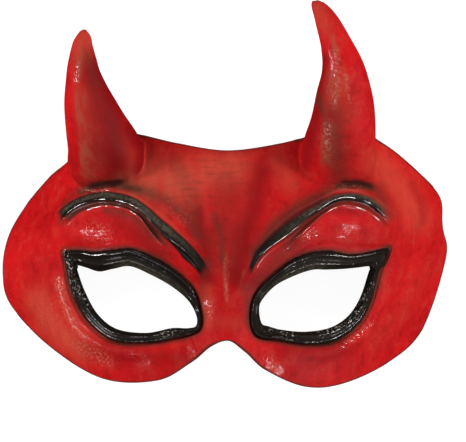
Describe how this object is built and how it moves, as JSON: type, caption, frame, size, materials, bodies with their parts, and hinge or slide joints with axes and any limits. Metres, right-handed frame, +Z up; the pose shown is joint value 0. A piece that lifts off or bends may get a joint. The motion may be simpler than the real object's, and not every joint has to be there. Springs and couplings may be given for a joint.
{
  "type": "horned half mask",
  "caption": "Devil half mask of moulded latex: arched brows, slanted eye openings and two curved hollow horns, lying face up on its side edges.",
  "frame": {"origin": "on the table under the mask, in the middle of its bounding box", "axes": "+X to the viewer's right across the mask, +Y up the forehead to the horns, +Z up out of the face"},
  "size_m": [0.1765, 0.1532, 0.0714],
  "materials": {
    "red_latex": "satin, painted red, with glossy black rims and brows"
  },
  "bodies": {
    "root": {"demon_eye_mask": "red_latex"}
  },
  "joints": []
}
